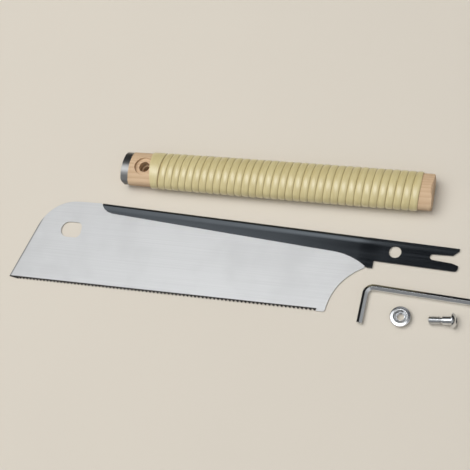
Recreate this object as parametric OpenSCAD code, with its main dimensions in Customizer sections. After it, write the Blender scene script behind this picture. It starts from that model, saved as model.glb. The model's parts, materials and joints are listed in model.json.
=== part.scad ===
// Pull saw with a wound handle, taken apart on the bench for a change of blade.
// X runs along the handle from its mouth to its tail, Y points away from the
// teeth and Z is up. The origin lies on the bench under the middle of the set.

/* [Handle] */
// Length of the wood from mouth to tail
handle_len = 238.8; // [200:0.2:300]
// Width of the wood, in the plane of the blade
wood_w = 27.4; // [26:0.2:31]
// Thickness of the wood, across the plane of the blade
wood_t = 15.8; // [15:0.2:20]
// Radius of the wood's flanks
flank_r = 5.2; // [4.6:0.1:6.6]
// Bevel around the tail
tail_bevel = 1.2; // [0.4:0.1:2.5]
// Round of the mouth's corners, seen from above
mouth_round = 3; // [1:0.5:5]
// Distance from the mouth to the clamp bolt
bolt_from_mouth = 18.2; // [17:0.1:22]
// Depth of the recess for the bolt's head, under the handle
head_recess = 1; // [0.5:0.1:2]
// Room for the tang in the sawn slot, both sides together
slot_clear = 0.3; // [0.1:0.05:0.6]
// Depth of the sawn slot past the tips of the tang
slot_spare = 2.5; // [1:0.5:10]
// Diameter of the hidden cross pin that the tang hooks over
anchor_d = 4; // [3:0.1:5]
// Distance of the cross pin behind the clamp bolt
anchor_from_bolt = 26.3; // [22:0.1:30]
// Distance of the cross pin's ends below the wood's surface
anchor_sink = 0.3; // [0.1:0.1:1]

/* [Ferrule] */
// Length of the steel band
ferrule_len = 6.2; // [6:0.1:9]
// Sheet thickness of the band
ferrule_t = 1; // [0.6:0.1:1.5]
// Step from the wood's surface down to the band
ferrule_step = 0.3; // [0:0.05:0.8]
// Gap between the band and the wood inside it
ferrule_gap = 0.05; // [0.02:0.01:0.2]

/* [Grip] */
// Bare wood between the mouth and the winding
wrap_from_mouth = 24.2; // [23:0.2:36]
// Bare wood between the winding and the tail
wrap_from_tail = 8.2; // [4:0.2:20]
// Turns of tape
turns = 24; // [12:1:24]
// Thickness of the tape
tape_t = 1.2; // [0.8:0.1:2]
// Gap between neighbouring turns
tape_gap = 0.5; // [0.45:0.05:1.5]
// Gap between the tape and the wood below it
tape_seat = 0.2; // [0.18:0.01:0.4]
// Round of the tape's outer edges
tape_edge = 0.6; // [0.3:0.1:0.8]
// Width of the trimmed tape at the two ends of the winding
tape_point = 2; // [1.6:0.1:4]

/* [Saw plate] */
// Number of teeth
tooth_count = 80; // [40:1:120]
// Distance from tooth to tooth
tooth_pitch = 3; // [2:0.1:3.5]
// Height of a tooth
tooth_h = 1.6; // [0.8:0.1:2.4]
// Distance that a tooth's tip leans towards the handle from the middle of the tooth
tooth_lean = 0.4; // [0:0.05:0.8]
// Thickness of the plate
plate_t = 0.6; // [0.4:0.05:1]
// Depth from the back to the last tooth
blade_depth = 59.3; // [52:0.1:70]
// Angle between the back and the teeth
back_slope = 2.77; // [1:0.01:4]
// Lean of the toe's straight edge
toe_lean = 16.8; // [0:0.1:20]
// Round of the toe's upper corner
toe_round = 31.5; // [20:0.5:34]
// Bare edge in front of the teeth
toe_tip = 8.2; // [4:0.2:14]
// Rise of the bare edge at the toe's tip
toe_rise = 1.3; // [0:0.1:3]
// Radius of the heel's hollow curve
heel_r = 42; // [41:0.2:44]
// Bare edge behind the teeth, at the top of the heel's lower round
heel_tip = 6.3; // [5.5:0.1:7]
// Height of the heel curve's centre above the teeth
heel_rise = -2.8; // [-4:0.1:-2]
// Round of the heel's lower corner
heel_round = 2; // [1:0.1:2.5]
// Length of the hanging hole
hang_l = 17.6; // [14:0.1:24]
// Height of the hanging hole
hang_h = 12.8; // [8:0.1:14]
// Round of the hanging hole's two corners towards the heel
hang_round = 4.4; // [2:0.1:5]
// Distance of the hanging hole from the tip of the toe
hang_from_toe = 43.1; // [38:0.1:48]
// Height of the hanging hole above the teeth
hang_rise = 44.3; // [38:0.1:48]

/* [Back and tang] */
// Sheet thickness of the folded back
leaf_t = 0.6; // [0.4:0.05:1]
// Gap between the plate and the fold
fold_gap = 0.03; // [0.02:0.01:0.1]
// Length of the back from its nose to the shoulder
back_len = 219.4; // [190:0.2:224]
// Depth of the back at its nose
nose_depth = 7; // [5:0.2:9]
// Round of the back's nose
nose_round = 10; // [8:0.5:14]
// Depth of the back where the throat begins
throat_depth = 13.8; // [12:0.1:16]
// Length of the throat in front of the shoulder
throat_len = 30; // [22:0.2:36]
// Depth of the shoulder
shoulder_depth = 22.5; // [20:0.1:25]
// Flat below the shoulder
shoulder_flat = 4; // [2:0.1:4.5]
// Distance from the last tooth to the shoulder
shoulder_from_teeth = 36; // [34:0.2:38]
// Height of the tang
tang_h = 16.9; // [14:0.1:19]
// Length of the tang from the shoulder to the tip of its lower prong
tang_len = 58; // [54:0.2:66]
// Distance by which the upper prong is shorter
prong_short = 0.6; // [0:0.1:4]
// Distance from the shoulder to the bolt hole
hole_from_shoulder = 13.9; // [10:0.1:15]
// Diameter of the bolt hole in the tang
tang_hole_d = 8.7; // [7:0.1:10]
// Room for the cross pin in the fork
fork_clear = 0.3; // [0.1:0.05:0.6]
// Opening angle of each side of the fork
fork_flare = 3; // [0:0.1:5]
// Length of the lead-in at the fork's mouth
lead_len = 4.6; // [2:0.2:8]
// Widening of the fork's upper side at the lead-in
lead_up = 3.8; // [1:0.1:5]
// Widening of the fork's lower side at the lead-in
lead_down = 1.6; // [0.5:0.1:3]
// Round of the lower prong's tip
prong_round = 2.6; // [1:0.1:3.5]

/* [Clamp bolt and nut] */
// Thread diameter
thread_d = 6; // [5:0.5:8]
// Tapping size of the nut
tapped_d = 5; // [4:0.1:7]
// Length of the bolt below its head
bolt_len = 16; // [14:0.5:20]
// Plain shoulder below the head
bolt_plain = 6.6; // [3:0.2:8]
// Width of the relief groove behind the thread
relief_w = 0.8; // [0.4:0.1:1.5]
// Depth of the relief groove
relief_h = 0.45; // [0.2:0.05:0.8]
// Diameter of the bolt's head
head_d = 10.5; // [9:0.1:13]
// Height of the bolt's head
head_h = 3.3; // [2.5:0.1:5]
// Straight rim of the bolt's head
head_rim = 0.5; // [0.2:0.1:1]
// Depth of the hex socket
socket_depth = 2.1; // [1.5:0.1:2.8]
// Room for the key in the socket, both sides together
socket_clear = 0.1; // [0.02:0.02:0.3]
// Room around the bolt in the handle's lower cheek
bolt_clear = 0.4; // [0.1:0.1:1]
// Room around the bolt's head in its recess
head_clear = 1; // [0.2:0.1:2]
// Diameter of the nut's flange
flange_d = 14.2; // [12:0.1:17]
// Thickness of the nut's flange
flange_t = 2.2; // [1.5:0.1:3]
// Diameter of the nut's collar
collar_d = 8.4; // [8:0.1:11]
// Height of the nut's collar below the flange
collar_h = 2.4; // [1:0.1:4]
// Diameter of the countersink in the nut's flange
sink_d = 9.2; // [8.2:0.1:10]
// Depth of the countersink
sink_h = 1.7; // [1.2:0.1:2]
// Bevel of the nut's and the bolt's edges
edge_bevel = 0.5; // [0.2:0.1:0.8]
// Room around the flange in its seat
flange_clear = 0.5; // [0.3:0.1:2]
// Depth of the flange's seat below its top
flange_sink = 0.3; // [0:0.1:0.8]
// Room around the collar in the handle's upper cheek
collar_clear = 0.2; // [0.1:0.1:1.2]

/* [Hex key] */
// Width of the key across its flats
key_af = 4; // [3:0.5:5]
// Length of the long arm, over all
key_long = 74; // [60:1:90]
// Length of the short arm, over all
key_short = 29; // [22:0.5:32]
// Radius of the bend, along the middle of the bar
key_bend = 5.5; // [4:0.5:8]

/* [Bench layout] */
// Place of the handle's mouth
handle_at = [-96.9, 41.7]; // [-200:0.1:200]
// Place of the last tooth
blade_at = [71.7, -51.8]; // [-200:0.1:200]
// Turn of the blade on the bench
blade_turn = 0.93; // [-5:0.01:5]
// Place of the corner where the key's arms would meet
key_at = [104.7, -30.1]; // [-200:0.1:200]
// Turn of the key on the bench
key_turn = -2.4; // [-8:0.1:8]
// Place of the nut
nut_at = [130.8, -49.1]; // [-200:0.1:200]
// Place of the underside of the bolt's head
bolt_at = [165.6, -47.9]; // [-200:0.1:200]
// Turn of the bolt on the bench
bolt_turn = 3.7; // [-10:0.1:10]

/* [Hidden] */
$fn = 96;
// Overshoot of cutting solids, so that no cut ends on a face
over = 1;

// Four-arc oval of the handle: two flank arcs and two broad arcs that run into each other
oval_a = wood_w / 2;
oval_b = wood_t / 2;
flank_c = oval_a - flank_r;
broad_r = (flank_c * flank_c + oval_b * oval_b - flank_r * flank_r) / (2 * (oval_b - flank_r));
broad_c = broad_r - oval_b;
join_angle = atan2(broad_c, flank_c);

// Depths of the steps that the ferrule sits on
ferrule_out = -ferrule_step;
ferrule_in = ferrule_out - ferrule_t;
spigot_out = ferrule_in - ferrule_gap;
mouth_half = oval_a + ferrule_out;

// Winding: 24 rings a turn, with a flat stretch between two rings under the handle. The tape is
// trimmed to a point at both ends, so that the winding begins and ends square to the handle.
rings_per_turn = 24;
ring_step = 360 / rings_per_turn;
first_ring = 90 - ring_step / 2;
wrap_len = handle_len - wrap_from_mouth - wrap_from_tail;
wrap_end = handle_len - wrap_from_tail;
tape_pitch = (wrap_len - 2 * tape_point - tape_gap) / (turns - 1);
tape_w = tape_pitch - tape_gap;
tape_out = tape_seat + tape_t;
tape_rings = turns * rings_per_turn;
axis_h = oval_b + tape_out - (broad_r + tape_out) * (1 - cos(ring_step / 2));

// Blade: the tooth line is X, the last tooth is at the origin
tooth_len = tooth_count * tooth_pitch;
toe_x = -tooth_len - toe_tip;
back_t = plate_t + 2 * fold_gap + 2 * leaf_t;
tang_t = 2 * leaf_t;
shoulder_at = [shoulder_from_teeth, blade_depth - shoulder_from_teeth * tan(back_slope)];
plate_top = shoulder_at.y + back_len * sin(back_slope);
toe_corner = toe_x + (plate_top - toe_rise) * tan(toe_lean);
toe_run = toe_round / tan(45 + toe_lean / 2);
heel_c = [heel_tip + sqrt(heel_r * heel_r - pow(heel_round - heel_rise, 2)), heel_rise];
hang_c = [toe_x + hang_from_toe, hang_rise];

// Back and tang: the back's straight top is X, the shoulder is at the origin
fold_end = -shoulder_flat - 1.5;
// Behind the plate the leaves close along a slope that ends inside the tang, just before the shoulder
leaf_close = [-0.2, leaf_t / 2];
tongue_top = -leaf_t - fold_gap;
tongue_end = fold_end - fold_gap;
throat_a = [-throat_len, -throat_depth];
throat_d = [-shoulder_flat, -shoulder_depth] - throat_a;
lower_slope = atan((throat_depth - nose_depth) / (back_len - throat_len));
throat_n = [-sin(lower_slope), -cos(lower_slope)];
throat_r = throat_d * throat_d / (2 * throat_d * throat_n);
nose_c = [-back_len + sqrt(nose_round * nose_round - pow(nose_round - nose_depth, 2)),
          nose_round - nose_depth];
fork_w = anchor_d + fork_clear;
fork_c = [hole_from_shoulder + anchor_from_bolt, -tang_h / 2];
lead_x = tang_len - lead_len;
lead_half = fork_w / 2 + (lead_x - fork_c.x) * tan(fork_flare);

// Handle cuts that take their place from the tang
slot_w = tang_t + slot_clear;
shoulder_seat = bolt_from_mouth - hole_from_shoulder;
slot_len = shoulder_seat + tang_len + slot_spare;
notch_len = shoulder_seat + slot_clear / 2;
anchor_x = bolt_from_mouth + anchor_from_bolt;
seat_depth = flange_t + flange_sink;
anchor_fit = 0.02;

// Bolt on the bench: it leans on the rim of its head and on the end of its thread
relief_d = thread_d - 2 * relief_h;
dome_h = head_h - head_rim;
dome_r = (head_d * head_d / 4 + dome_h * dome_h) / (2 * dome_h);
bolt_lean = atan((head_d - thread_d) / 2 / (bolt_len - edge_bevel));
bolt_lift = head_d / 2 * cos(bolt_lean);

key_corner = key_af / sqrt(3);

function mirror_y(p) = [p.x, -p.y];

// Point of the back's own outline, on the blade
function from_back(p) = shoulder_at + [p.x * cos(back_slope) + p.y * sin(back_slope),
                                       p.y * cos(back_slope) - p.x * sin(back_slope)];

// Point of the oval where its outward direction is at angle a, moved out by grow
function oval_point(a, grow) =
    let (c = abs(cos(a)) > cos(join_angle) ? [sign(cos(a)) * flank_c, 0] : [0, -sign(sin(a)) * broad_c],
         r = (abs(cos(a)) > cos(join_angle) ? flank_r : broad_r) + grow)
    c + r * [cos(a), sin(a)];

// Flat tape's section between its front and rear edges: along the handle, then outwards from the wood
function tape_section(front, rear) =
    [[front, tape_seat], [rear, tape_seat], [rear, tape_out - tape_edge], [rear - tape_edge, tape_out],
     [front + tape_edge, tape_out], [front, tape_out - tape_edge]];

// One ring of the winding, moved along its tangent by ahead
function tape_ring(i, ahead = 0) =
    let (a = first_ring - i * ring_step,
         rear = wrap_from_mouth + tape_point + tape_pitch * i / rings_per_turn,
         front = rear - tape_w)
    [for (s = tape_section(max(front, wrap_from_mouth), min(rear, wrap_end)))
        let (p = oval_point(a, s.y)) [s.x, p.x + ahead * sin(a), p.y - ahead * cos(a)]];

tape_points = [for (p = tape_ring(0, -tape_t)) p,
               for (i = [0 : tape_rings]) each tape_ring(i),
               for (p = tape_ring(tape_rings, tape_t)) p];
// Least distance from the rear edge of a turn to the front edge of the next one
tape_least_gap = min([for (i = [0 : tape_rings - rings_per_turn - 1], j = [-1 : 1])
    let (a = tape_ring(i), b = tape_ring(i + rings_per_turn + j))
    for (m = [1, 2, 3], n = [0, 4, 5]) norm(a[m] - b[n])]);
echo(tape_least_gap = tape_least_gap);

// Extrudes a section in Y and Z along X
module along_x(x0, x1) {
    translate([x0, 0, 0]) rotate([90, 0, 90]) linear_extrude(x1 - x0) children();
}

// Extrudes an outline in X and Y evenly about the plane of the blade
module sheet(t) {
    translate([0, 0, -t / 2]) linear_extrude(t) children();
}

module lay_handle() {
    translate([handle_at.x, handle_at.y, axis_h]) children();
}

module lay_blade() {
    translate([blade_at.x, blade_at.y, back_t / 2]) rotate([0, 0, blade_turn]) children();
}

// Oval of the wood, grown by grow
module oval(grow) {
    flat = flank_c * (broad_r + grow) / (broad_r - flank_r);
    for (s = [-1, 1]) translate([s * flank_c, 0]) circle(flank_r + grow);
    intersection() {
        translate([0, broad_c]) circle(broad_r + grow);
        translate([0, -broad_c]) circle(broad_r + grow);
        square([2 * flat, wood_t + 2 * over], center = true);
    }
}

// Outline from above that rounds the corners of the mouth and bevels the tail
module handle_plan() {
    inner = mouth_half - mouth_round;
    upper = [[0, mouth_half], [ferrule_len, mouth_half], [ferrule_len, oval_a],
             [handle_len - tail_bevel, oval_a], [handle_len, oval_a - tail_bevel]];
    difference() {
        polygon([each upper, for (i = [len(upper) - 1 : -1 : 0]) mirror_y(upper[i])]);
        for (s = [-1, 1]) translate([mouth_round, s * inner]) difference() {
            translate([-mouth_round - over, s > 0 ? 0 : -mouth_round - over]) square(mouth_round + over);
            circle(mouth_round);
        }
    }
}

// Outline from the side that bevels the tail
module handle_side() {
    upper = [[0, oval_b], [handle_len - tail_bevel, oval_b], [handle_len, oval_b - tail_bevel]];
    polygon([each upper, for (i = [len(upper) - 1 : -1 : 0]) mirror_y(upper[i])]);
}

// Oval stick, sawn down the middle from the mouth and drilled for the bolt, the nut and the pin
module handle_core() {
    color("burlywood") lay_handle() difference() {
        intersection() {
            union() {
                along_x(0, ferrule_len + over) oval(spigot_out);
                along_x(ferrule_len, handle_len) oval(0);
            }
            linear_extrude(wood_t + over, center = true) handle_plan();
            rotate([90, 0, 0]) linear_extrude(wood_w + over, center = true) handle_side();
        }
        translate([-over, -wood_w / 2 - over, -slot_w / 2])
            cube([slot_len + over, wood_w + 2 * over, slot_w]);
        translate([bolt_from_mouth, 0, 0]) {
            cylinder(d = collar_d + collar_clear, h = wood_t);
            translate([0, 0, oval_b - seat_depth])
                cylinder(d = flange_d + flange_clear, h = seat_depth + over);
            translate([0, 0, -wood_t]) cylinder(d = thread_d + bolt_clear, h = wood_t);
            translate([0, 0, -oval_b - over]) cylinder(d = head_d + head_clear, h = head_recess + over);
        }
        translate([anchor_x, 0, -wood_t]) cylinder(d = anchor_d + 2 * anchor_fit, h = 2 * wood_t);
    }
}

// Steel band around the mouth, notched on the tooth side for the blade's shoulder
module ferrule() {
    color("slategray") lay_handle() difference() {
        intersection() {
            along_x(0, ferrule_len) difference() {
                oval(ferrule_out);
                oval(ferrule_in);
            }
            linear_extrude(wood_t + over, center = true) handle_plan();
        }
        translate([-over, -wood_w, -slot_w / 2]) cube([notch_len + over, wood_w, slot_w]);
    }
}

// Flat tape wound around the wood in one length
module grip_wrap() {
    sides = len(tape_ring(0));
    rings = tape_rings + 3;
    skin = [for (r = [0 : rings - 2], k = [0 : sides - 1])
        let (p = r * sides + k, q = r * sides + (k + 1) % sides)
        each [[p, q, q + sides], [p, q + sides, p + sides]]];
    front = [for (k = [1 : sides - 2]) [0, k + 1, k]];
    last = (rings - 1) * sides;
    rear = [for (k = [1 : sides - 2]) [last, last + k, last + k + 1]];
    color("khaki") lay_handle() polyhedron(points = tape_points, faces = [each skin, each front, each rear]);
}

// Cross pin in the wood, under the winding
module anchor_pin() {
    color("gray") lay_handle() translate([anchor_x, 0, -oval_b + anchor_sink])
        cylinder(d = anchor_d, h = wood_t - 2 * anchor_sink);
}

// Teeth, straight edges and hidden tongue of the plate, before its rounds and its hole are cut
module plate_outline() {
    teeth = [for (i = [0 : tooth_count - 1])
        let (x = -tooth_len + i * tooth_pitch)
        each [[x, tooth_h], [x + tooth_pitch / 2 + tooth_lean, 0]]];
    polygon([[toe_corner, plate_top], [toe_x, toe_rise], [-tooth_len, 0], each teeth, [0, tooth_h], [0, 0],
             [heel_tip + heel_round, 0], [heel_c.x, over], from_back([tongue_end, -shoulder_depth - over]),
             from_back([tongue_end, tongue_top]), from_back([-back_len - over, tongue_top]),
             from_back([-back_len - over, 0])]);
}

// Hole with a round end towards the toe and two rounded corners towards the heel
module hanging_hole() {
    straight = hang_l - hang_h / 2 - hang_round;
    corner = [hang_l / 2 - hang_round, hang_h / 2 - hang_round];
    translate([(hang_h - hang_l) / 2, 0]) circle(d = hang_h);
    translate([(hang_h - hang_l) / 2, -hang_h / 2]) square([straight, hang_h]);
    translate([0, -corner.y]) square([hang_l / 2, 2 * corner.y]);
    for (s = [-1, 1]) translate([corner.x, s * corner.y]) circle(hang_round);
}

// Thin toothed plate with a round toe, a hollow heel and a hanging hole
module saw_plate() {
    color("gainsboro") lay_blade() sheet(plate_t) difference() {
        plate_outline();
        // Toe's upper corner
        difference() {
            polygon([[toe_corner - over, plate_top + over], [toe_corner + toe_run, plate_top + over],
                     [toe_corner + toe_run, plate_top - toe_round],
                     [toe_corner - toe_run * sin(toe_lean), plate_top - toe_run * cos(toe_lean)],
                     [toe_corner - toe_run * sin(toe_lean) - over, plate_top - toe_run * cos(toe_lean)]]);
            translate([toe_corner + toe_run, plate_top - toe_round]) circle(toe_round);
        }
        // Heel's hollow and its lower corner
        translate(heel_c) circle(heel_r);
        translate([heel_tip - heel_round, heel_round]) difference() {
            translate([0, -heel_round - over]) square(heel_round + over);
            circle(heel_round);
        }
        translate(hang_c) hanging_hole();
    }
}

// Back from its round nose to the shoulder
module back_outline() {
    difference() {
        polygon([[-back_len, 0], [0, 0], [0, -shoulder_depth], [-shoulder_flat, -shoulder_depth], throat_a,
                 [-back_len, -nose_depth]]);
        translate(throat_a + throat_r * throat_n) circle(throat_r);
        difference() {
            translate([-back_len - over, -nose_depth - over])
                square([nose_c.x + back_len + over, nose_depth + 2 * over]);
            translate(nose_c) circle(nose_round);
        }
    }
}

// Tang with the bolt hole and the fork
module tang_outline() {
    difference() {
        translate([-over, -tang_h]) square([tang_len + over, tang_h]);
        translate([hole_from_shoulder, -tang_h / 2]) circle(d = tang_hole_d);
        translate(fork_c) circle(d = fork_w);
        polygon([[fork_c.x, fork_c.y + fork_w / 2], [lead_x, fork_c.y + lead_half],
                 [tang_len - prong_short, fork_c.y + lead_half + lead_up], [tang_len - prong_short, over],
                 [tang_len + over, over], [tang_len + over, fork_c.y - lead_half - lead_down],
                 [lead_x, fork_c.y - lead_half], [fork_c.x, fork_c.y - fork_w / 2]]);
        translate([tang_len - prong_round, -tang_h + prong_round]) difference() {
            translate([0, -prong_round - over]) square([prong_round + over, prong_round + over]);
            circle(prong_round);
        }
    }
}

// Folded steel back that grips the plate; its two leaves are pressed together to make the tang
module back_spine() {
    side = [[-back_len, back_t / 2], [fold_end, back_t / 2], leaf_close];
    color([0.13, 0.14, 0.17]) lay_blade() translate(shoulder_at) rotate([0, 0, -back_slope]) difference() {
        union() {
            intersection() {
                sheet(back_t) back_outline();
                union() {
                    along_x(-back_len, fold_end) translate([-back_t / 2, 0]) circle(d = back_t);
                    translate([0, -back_t / 2, 0]) rotate([90, 0, 0])
                        linear_extrude(shoulder_depth - back_t / 2)
                            polygon([each side, for (i = [len(side) - 1 : -1 : 0]) mirror_y(side[i])]);
                }
            }
            sheet(tang_t) {
                intersection() {
                    back_outline();
                    translate([fold_end - over, -shoulder_depth]) square([over - fold_end, shoulder_depth]);
                }
                tang_outline();
            }
        }
        translate([-back_len - over, -shoulder_depth - over, -plate_t / 2 - fold_gap])
            cube([back_len + fold_end + over, shoulder_depth + over - leaf_t, plate_t + 2 * fold_gap]);
    }
}

// Button-head bolt with a hex socket, leaning on its head and its thread's end
module clamp_bolt() {
    color("silver") translate([bolt_at.x, bolt_at.y, bolt_lift]) rotate([0, 0, bolt_turn])
        rotate([0, -bolt_lean, 0]) rotate([0, 90, 0]) difference() {
            union() {
                translate([0, 0, -bolt_plain]) cylinder(d = thread_d, h = bolt_plain);
                translate([0, 0, -bolt_plain - relief_w]) cylinder(d = relief_d, h = relief_w);
                translate([0, 0, -bolt_len + edge_bevel])
                    cylinder(d = thread_d, h = bolt_len - bolt_plain - relief_w - edge_bevel);
                translate([0, 0, -bolt_len])
                    cylinder(d1 = thread_d - 2 * edge_bevel, d2 = thread_d, h = edge_bevel);
                cylinder(d = head_d, h = head_rim);
                intersection() {
                    translate([0, 0, head_h - dome_r]) sphere(dome_r);
                    cylinder(d = head_d, h = head_h);
                }
            }
            translate([0, 0, head_h - socket_depth])
                cylinder(d = (key_af + socket_clear) * 2 / sqrt(3), h = socket_depth + over, $fn = 6);
        }
}

// Round flanged nut on its collar, countersunk in the flange
module clamp_nut() {
    nut_h = flange_t + collar_h;
    rim = flange_d / 2;
    collar = collar_d / 2;
    hole = tapped_d / 2;
    color("silver") translate([nut_at.x, nut_at.y, 0]) rotate_extrude()
        polygon([[hole, edge_bevel], [hole + edge_bevel, 0], [collar - edge_bevel, 0], [collar, edge_bevel],
                 [collar, collar_h], [rim - edge_bevel, collar_h], [rim, collar_h + edge_bevel],
                 [rim, nut_h - edge_bevel], [rim - edge_bevel, nut_h], [sink_d / 2, nut_h],
                 [hole, nut_h - sink_h]]);
}

// Section of the key's bar, a corner up
module key_section() {
    side = [[key_af / 2, key_corner / 2], [0, key_corner], [-key_af / 2, key_corner / 2]];
    polygon([each side, for (i = [2 : -1 : 0]) mirror_y(side[i])]);
}

// Bent key on the bench, resting on a corner of its bar
module hex_key() {
    color("silver") translate([key_at.x, key_at.y, key_corner]) rotate([0, 0, key_turn]) {
        along_x(key_bend, key_long - key_af / 2) key_section();
        translate([key_bend, -key_bend, 0]) rotate([0, 0, 90])
            rotate_extrude(angle = 90) translate([key_bend, 0]) key_section();
        translate([0, -key_bend, 0]) rotate([90, 0, 0])
            linear_extrude(key_short - key_af / 2 - key_bend) key_section();
    }
}

handle_core();
ferrule();
grip_wrap();
anchor_pin();
saw_plate();
back_spine();
clamp_bolt();
clamp_nut();
hex_key();
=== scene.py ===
import json
from math import asin, atan2, cos, pi, radians, sin, sqrt

import bmesh
import bpy
from mathutils import Matrix, Vector


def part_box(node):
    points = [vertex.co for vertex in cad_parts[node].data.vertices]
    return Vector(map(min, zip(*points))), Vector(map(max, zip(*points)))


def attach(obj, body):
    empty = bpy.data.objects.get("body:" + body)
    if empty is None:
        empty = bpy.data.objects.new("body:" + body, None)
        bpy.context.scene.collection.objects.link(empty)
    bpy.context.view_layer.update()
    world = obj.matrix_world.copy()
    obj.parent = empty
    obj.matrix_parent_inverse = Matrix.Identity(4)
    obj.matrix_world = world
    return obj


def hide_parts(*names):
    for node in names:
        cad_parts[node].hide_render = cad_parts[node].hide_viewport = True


bl_info = {
    "name": "Wound-handle pull saw",
    "version": (1, 0, 0),
    "blender": (4, 5, 0),
    "location": "3D View > Sidebar > Pull Saw",
    "description": "Dresses a pull saw laid out for a change of blade, with its clamp parts, key and bench",
    "category": "Object",
}

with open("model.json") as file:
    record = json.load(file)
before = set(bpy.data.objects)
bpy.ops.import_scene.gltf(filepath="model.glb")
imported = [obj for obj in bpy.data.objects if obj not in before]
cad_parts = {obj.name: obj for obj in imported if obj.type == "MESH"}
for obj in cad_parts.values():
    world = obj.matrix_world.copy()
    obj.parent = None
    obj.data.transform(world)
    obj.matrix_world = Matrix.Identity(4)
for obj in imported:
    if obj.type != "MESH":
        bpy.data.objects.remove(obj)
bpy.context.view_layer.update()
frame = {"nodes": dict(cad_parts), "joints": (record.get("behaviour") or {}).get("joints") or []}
NODES = frame["nodes"]
JOINTS = {joint["name"]: joint for joint in frame["joints"]}
MM = 0.001

# Distances below which corners are one: in a copied node, a new mesh, the fold's cuts and a trimmed end
NODE_WELD = 1e-6
WELD = 1e-7
FOLD_SNAP = 1e-7
TRIM_SNAP = 1e-8
# Angles in degrees below which faces of a copied node are one, and above which its edges are rounded
FLAT_ANGLE = 0.4
SHARP_ANGLE = 28

# Steps in one turn of the cane, of a turned part and of a thread, and in the key's bend
CANE_STEPS = 64
LATHE_STEPS = 72
THREAD_STEPS = 40
BEND_STEPS = 20

# Radius of the round former that the cane is wound on before it is wrapped onto the oval
FORMER = 0.01
# Depth to which the cane's underside reaches into the wood, and its least height over the bench
CANE_SINK = 0.3 * MM
BENCH_GAP = 0.02 * MM
# Extra width of the first turn at its front, in pitches, before it is trimmed
FIRST_EXTRA = 1.2

# Share of the leaves' closing that lies over the plate, and the steps that ease it
CLOSING_LEAD = 0.4
CLOSING_STEPS = 10
# Share of the rolled edge at which the fold's bead is full
BEAD_CREST = 0.7
# Share of the tooth zone that is fully dark, and the length over which it ends behind the last tooth
TOOTH_SOLID = 0.75
ROW_FADE = 0.3 * MM

# Half widths of the thread's ridge at its foot and at its crest, in pitches
RIDGE_FOOT = 0.46
RIDGE_CREST = 0.07

# Dim sky's strength; then each panel's direction, cosines of its soft edge and bright middle, and strength
SKY_BASE = 0.02
PANELS = (((-0.39, 0.12, 0.91), 0.955, 0.985, 2.1), ((-0.12, -0.10, 0.985), 0.955, 0.985, 3.0),
          ((0.1, -0.62, 0.78), 0.5, 0.9, 0.26), ((0.68, -0.15, 0.72), 0.78, 0.95, 0.4),
          ((-0.80, -0.48, 0.36), 0.85, 0.97, 0.5), ((0.0, 0.68, 0.73), 0.93, 0.98, 0.35))
SKY_TINT = (0.97, 0.985, 1.0, 1)
LAMP_TINT = (1.0, 0.97, 0.93)
LAMP_SIZE = 1.5
LAMP_AT = Vector((-0.36, 0.05, 1.46))
CAMERA_AT = Vector((0.21397, -0.21001, 0.60147))
CAMERA_RIGHT = Vector((0.94341, 0.19822, -0.26585))
CAMERA_UP = Vector((-0.09495, 0.92959, 0.35616))
FLOOR_HALF = 20
FLOOR_SHADE = 0.95


def size(name, description, millimetres):
    """Length property whose default is given in millimetres."""
    return bpy.props.FloatProperty(name=name, description=description, default=millimetres * MM,
                                   unit="LENGTH", subtype="DISTANCE", precision=5)


def angle(name, description, degrees):
    """Angle property whose default is given in degrees."""
    return bpy.props.FloatProperty(name=name, description=description, default=radians(degrees),
                                   subtype="ANGLE")


def count(name, description, default, least):
    """Property for a whole number of turns or cuts."""
    return bpy.props.IntProperty(name=name, description=description, default=default, min=least)


def colour(name, description, rgb):
    """Linear colour property."""
    return bpy.props.FloatVectorProperty(name=name, description=description, default=rgb,
                                         subtype="COLOR", size=3, min=0, max=1)


class GripSettings(bpy.types.PropertyGroup):
    """Wooden stick, its winding and its ferrule"""

    pitch: size("Pitch", "Distance from one groove of the winding to the next", 5.648)
    turns: count("Turns", "Whole turns behind the first groove", 35, 1)
    first_groove: size("First groove", "Distance from the mouth to the first groove, on top", 32.9)
    start: size("Start", "Distance from the mouth to the winding's front edge, on top", 24.0)
    start_lean: bpy.props.FloatProperty(name="Start lean", default=0.122,
                                        description="Slope of the front edge across the handle")
    end: size("End", "Distance from the mouth to the winding's rear edge", 230.6)
    cane_t: size("Cane thickness", "Height of the cane above the wood", 1.4)
    crown: size("Crown", "Rise of the cane's middle above its edges", 0.40)
    edge: size("Cane edge", "Round of the cane's long edges", 0.70)
    first_gap: size("First seam", "Gap behind the wide first turn", 0.35)
    seam: size("Seam", "Gap between neighbouring turns", 0.02)
    swell: size("Swell", "Fall of the winding from its middle to its ends", 0.25)
    flank: size("Flank radius", "Radius of the wood's flanks", 5.2)
    soft: size("Wood edge", "Round of the wood's sharp edges", 0.25)
    band_soft: size("Ferrule edge", "Round of the ferrule's edges", 0.28)
    cane: colour("Cane", "Pale skin of the cane", (0.69, 0.602, 0.318))
    cane_dark: colour("Cane shade", "Darker fibres of the cane", (0.57, 0.468, 0.212))
    groove: colour("Groove", "Shade between two turns", (0.35, 0.265, 0.115))
    wood: colour("Wood", "Pale wood", (0.67, 0.49, 0.32))
    wood_dark: colour("Wood grain", "Darker year rings", (0.51, 0.335, 0.20))
    band: colour("Ferrule", "Grey steel of the band", (0.39, 0.385, 0.378))


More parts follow.
